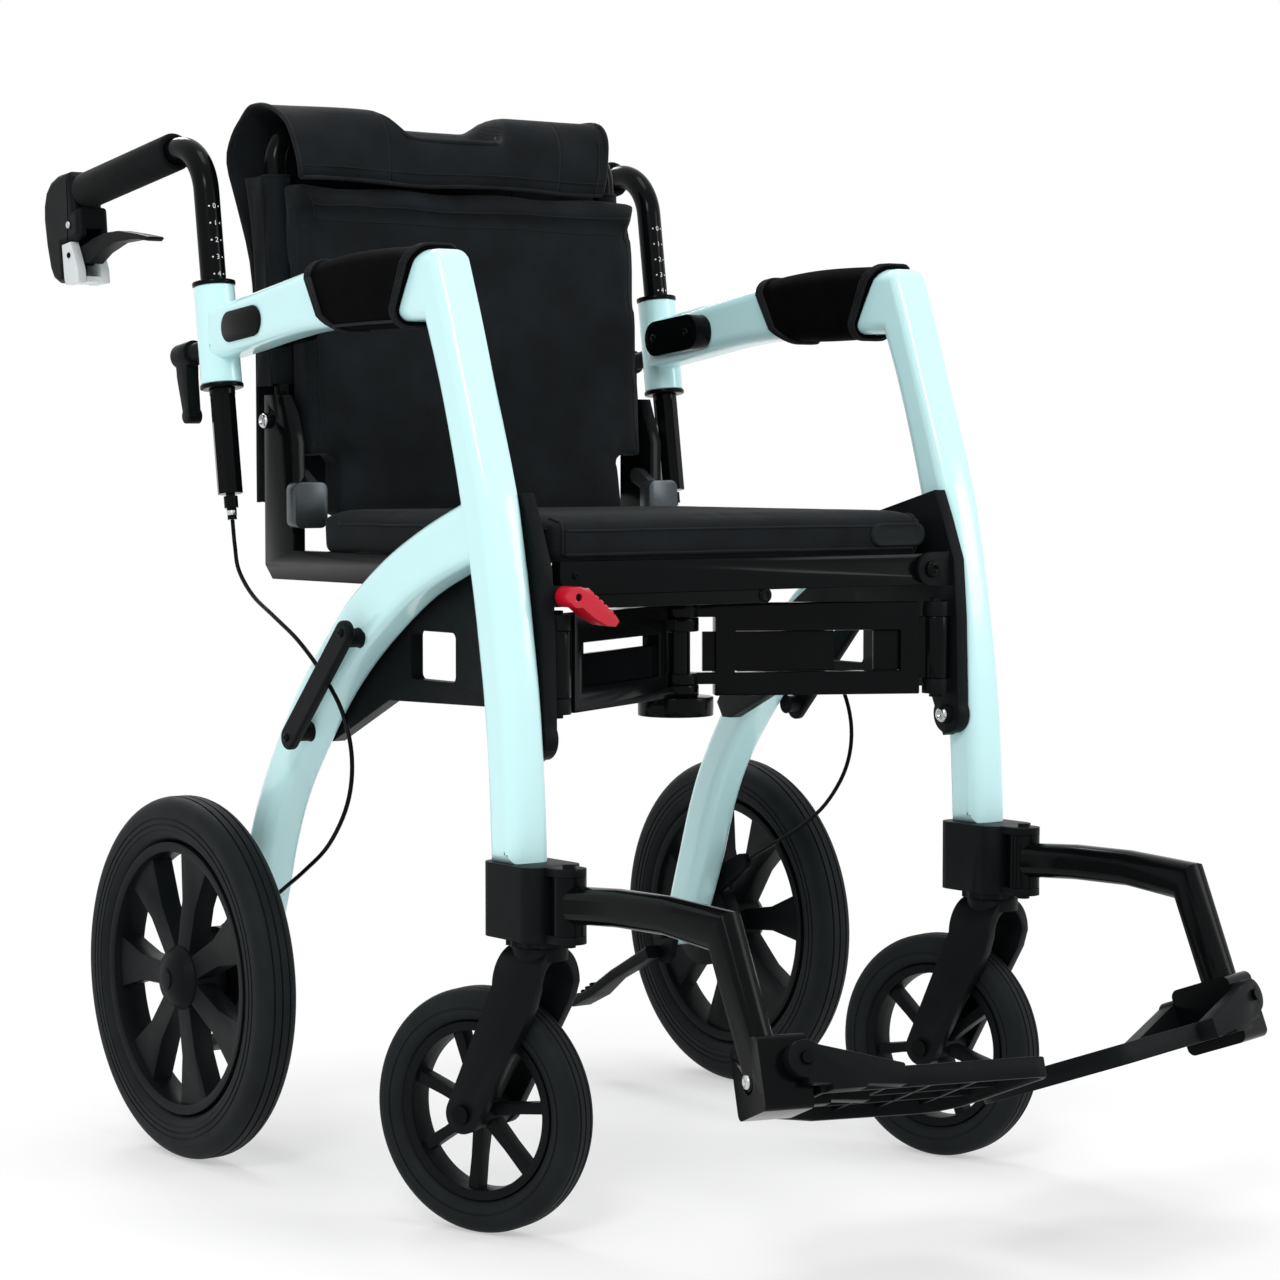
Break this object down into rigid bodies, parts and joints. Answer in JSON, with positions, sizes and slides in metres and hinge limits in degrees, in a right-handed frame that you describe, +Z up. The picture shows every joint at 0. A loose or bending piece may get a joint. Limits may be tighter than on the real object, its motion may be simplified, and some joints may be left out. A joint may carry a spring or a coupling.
{
  "type": "rollator transport chair",
  "caption": "Folding rollator transport chair with arched side frames, casters, push handles with brake levers, padded seat and back, and footrests.",
  "frame": {"origin": "on the floor under the middle of the chair's length and width", "axes": "+Z up, -Y forward, +X towards the sitter's left"},
  "size_m": [0.632, 1.1134, 0.89],
  "materials": {
    "frame_paint": "gloss",
    "black_metal": "satin",
    "black_plastic": "matte",
    "tyre": "matte",
    "foam": "matte",
    "fabric": "woven",
    "neoprene": "matte",
    "steel": "satin",
    "red_plastic": "gloss",
    "grey_plastic": "satin"
  },
  "bodies": {
    "left_side": {"side_frame_left": "frame_paint", "armrest_pad_left": "neoprene", "frame_plugs_left": "black_plastic", "side_bracket_left": "black_plastic", "back_post_left": "black_metal", "leg_guard_left": "black_plastic", "leg_socket_left": "black_plastic", "brake_unit_left": "black_plastic", "tip_pedal_left": "black_plastic", "brake_cable_left": "black_plastic", "seat_cushion": "fabric", "back_panel": "fabric", "back_cover": "fabric"},
    "right_side": {"side_frame_right": "frame_paint", "armrest_pad_right": "neoprene", "frame_plugs_right": "black_plastic", "side_bracket_right": "black_plastic", "back_post_right": "black_metal", "leg_guard_right": "black_plastic", "leg_socket_right": "black_plastic", "brake_unit_right": "black_plastic", "tip_pedal_right": "black_plastic", "brake_cable_right": "black_plastic"},
    "arm_left": {"fold_arm_left": "black_metal", "hinge_post": "black_metal"},
    "arm_right": {"fold_arm_right": "black_metal"},
    "seat_rail": {"seat_front_rail": "black_metal"},
    "release": {"release_lever": "red_plastic"},
    "handle_right": {"handle_tube_right": "black_metal", "grip_right": "foam", "brake_housing_right": "black_plastic", "brake_cap_right": "grey_plastic"},
    "lever_right": {"brake_lever_right": "black_plastic"},
    "clamp_right": {"clamp_lever_right": "black_plastic"},
    "latch_right": {"back_latch_right": "black_plastic"},
    "rear_wheel_right": {"rear_rim_right": "black_plastic", "rear_tyre_right": "tyre"},
    "caster_right": {"caster_fork_right": "black_plastic", "front_axle_right": "steel"},
    "front_wheel_right": {"front_rim_right": "black_plastic", "front_tyre_right": "tyre"},
    "footrest_right": {"footrest_arm_right": "black_metal"},
    "plate_right": {"footplate_right": "black_plastic"},
    "handle_left": {"handle_tube_left": "black_metal", "grip_left": "foam", "brake_housing_left": "black_plastic", "brake_cap_left": "grey_plastic"},
    "lever_left": {"brake_lever_left": "black_plastic"},
    "clamp_left": {"clamp_lever_left": "black_plastic"},
    "latch_left": {"back_latch_left": "black_plastic"},
    "rear_wheel_left": {"rear_rim_left": "black_plastic", "rear_tyre_left": "tyre"},
    "caster_left": {"caster_fork_left": "black_plastic", "front_axle_left": "steel"},
    "front_wheel_left": {"front_rim_left": "black_plastic", "front_tyre_left": "tyre"},
    "footrest_left": {"footrest_arm_left": "black_metal"},
    "plate_left": {"footplate_left": "black_plastic"}
  },
  "joints": [
    {"name": "fold", "type": "hinge", "parent": "left_side", "child": "arm_left", "pos_m": [0.1925, -0.18046, 0.43], "axis": [0, 0, -1], "range_deg": [0, 31], "deforming": ["seat_cushion", "back_panel", "back_cover"]},
    {"name": "fold_middle", "type": "hinge", "parent": "arm_left", "child": "arm_right", "pos_m": [0, -0.07815, 0.43], "axis": [0, 0, 1], "range_deg": [0, 62]},
    {"name": "fold_right", "type": "hinge", "parent": "arm_right", "child": "right_side", "pos_m": [-0.1925, -0.18046, 0.43], "axis": [0, 0, -1], "range_deg": [0, 31]},
    {"name": "seat_rail_flip", "type": "hinge", "parent": "left_side", "child": "seat_rail", "pos_m": [0.183, -0.17646, 0.495], "axis": [0, 1, 0], "range_deg": [0, 85.87]},
    {"name": "release_press", "type": "hinge", "parent": "right_side", "child": "release", "pos_m": [-0.1945, -0.20046, 0.482], "axis": [0, 1, 0], "range_deg": [0, 18], "stiffness_Nm_per_rad": 0.5},
    {"name": "handle_slide_right", "type": "slide", "parent": "right_side", "child": "handle_right", "axis": [0, 0.1426, 0.9898], "range_m": [-0.07, 0.08], "deforming": ["brake_cable_right"]},
    {"name": "brake_lever_right", "type": "hinge", "parent": "handle_right", "child": "lever_right", "pos_m": [-0.2365, 0.49319, 0.76919], "axis": [-1, 0, 0], "range_deg": [0, 12], "stiffness_Nm_per_rad": 0.8},
    {"name": "clamp_turn_right", "type": "hinge", "parent": "right_side", "child": "clamp_right", "pos_m": [-0.2365, 0.26971, 0.68016], "axis": [0, 0.9898, -0.1426], "range_deg": [0, 110]},
    {"name": "back_latch_right", "type": "hinge", "parent": "right_side", "child": "latch_right", "pos_m": [-0.18, 0.21354, 0.571], "axis": [-1, 0, 0], "range_deg": [0, 10], "stiffness_Nm_per_rad": 0.3},
    {"name": "rear_spin_right", "type": "hinge", "parent": "right_side", "child": "rear_wheel_right", "pos_m": [-0.293, 0.20954, 0.152], "axis": [1, 0, 0], "continuous": true},
    {"name": "caster_turn_right", "type": "hinge", "parent": "right_side", "child": "caster_right", "pos_m": [-0.23, -0.21146, 0.224], "axis": [0, 0, 1], "continuous": true},
    {"name": "front_spin_right", "type": "hinge", "parent": "caster_right", "child": "front_wheel_right", "pos_m": [-0.24761, -0.16254, 0.0934], "axis": [0.9409, 0.3387, 0], "continuous": true},
    {"name": "footrest_swing_right", "type": "hinge", "parent": "right_side", "child": "footrest_right", "pos_m": [-0.23, -0.24846, 0.256], "axis": [0, 0, -1], "range_deg": [0, 74.4]},
    {"name": "plate_flip_right", "type": "hinge", "parent": "footrest_right", "child": "plate_right", "pos_m": [-0.21725, -0.49983, 0.17552], "axis": [-0.259, -0.9033, 0.342], "range_deg": [0, 90]},
    {"name": "handle_slide_left", "type": "slide", "parent": "left_side", "child": "handle_left", "axis": [0, 0.1426, 0.9898], "range_m": [-0.07, 0.08], "deforming": ["brake_cable_left"]},
    {"name": "brake_lever_left", "type": "hinge", "parent": "handle_left", "child": "lever_left", "pos_m": [0.2365, 0.49319, 0.76919], "axis": [-1, 0, 0], "range_deg": [0, 12], "stiffness_Nm_per_rad": 0.8},
    {"name": "clamp_turn_left", "type": "hinge", "parent": "left_side", "child": "clamp_left", "pos_m": [0.2365, 0.26971, 0.68016], "axis": [0, -0.9898, 0.1426], "range_deg": [0, 110]},
    {"name": "back_latch_left", "type": "hinge", "parent": "left_side", "child": "latch_left", "pos_m": [0.18, 0.21354, 0.571], "axis": [-1, 0, 0], "range_deg": [0, 10], "stiffness_Nm_per_rad": 0.3},
    {"name": "rear_spin_left", "type": "hinge", "parent": "left_side", "child": "rear_wheel_left", "pos_m": [0.293, 0.20954, 0.152], "axis": [1, 0, 0], "continuous": true},
    {"name": "caster_turn_left", "type": "hinge", "parent": "left_side", "child": "caster_left", "pos_m": [0.23, -0.21146, 0.224], "axis": [0, 0, 1], "continuous": true},
    {"name": "front_spin_left", "type": "hinge", "parent": "caster_left", "child": "front_wheel_left", "pos_m": [0.21857, -0.16073, 0.0934], "axis": [0.9755, 0.2198, 0], "continuous": true},
    {"name": "footrest_swing_left", "type": "hinge", "parent": "left_side", "child": "footrest_left", "pos_m": [0.23, -0.24846, 0.256], "axis": [0, 0, 1], "range_deg": [0, 74.4]},
    {"name": "plate_flip_left", "type": "hinge", "parent": "footrest_left", "child": "plate_left", "pos_m": [0.21725, -0.49983, 0.17552], "axis": [-0.259, 0.9033, -0.342], "range_deg": [0, 90]}
  ],
  "couplings": [
    {"joint": "fold_middle", "follows": "fold", "ratio": 2},
    {"joint": "fold_right", "follows": "fold", "ratio": 1},
    {"joint": "seat_rail_flip", "follows": "fold", "ratio": 2.77},
    {"joint": "footrest_swing_right", "follows": "fold", "ratio": 2.4},
    {"joint": "footrest_swing_left", "follows": "fold", "ratio": 2.4}
  ]
}
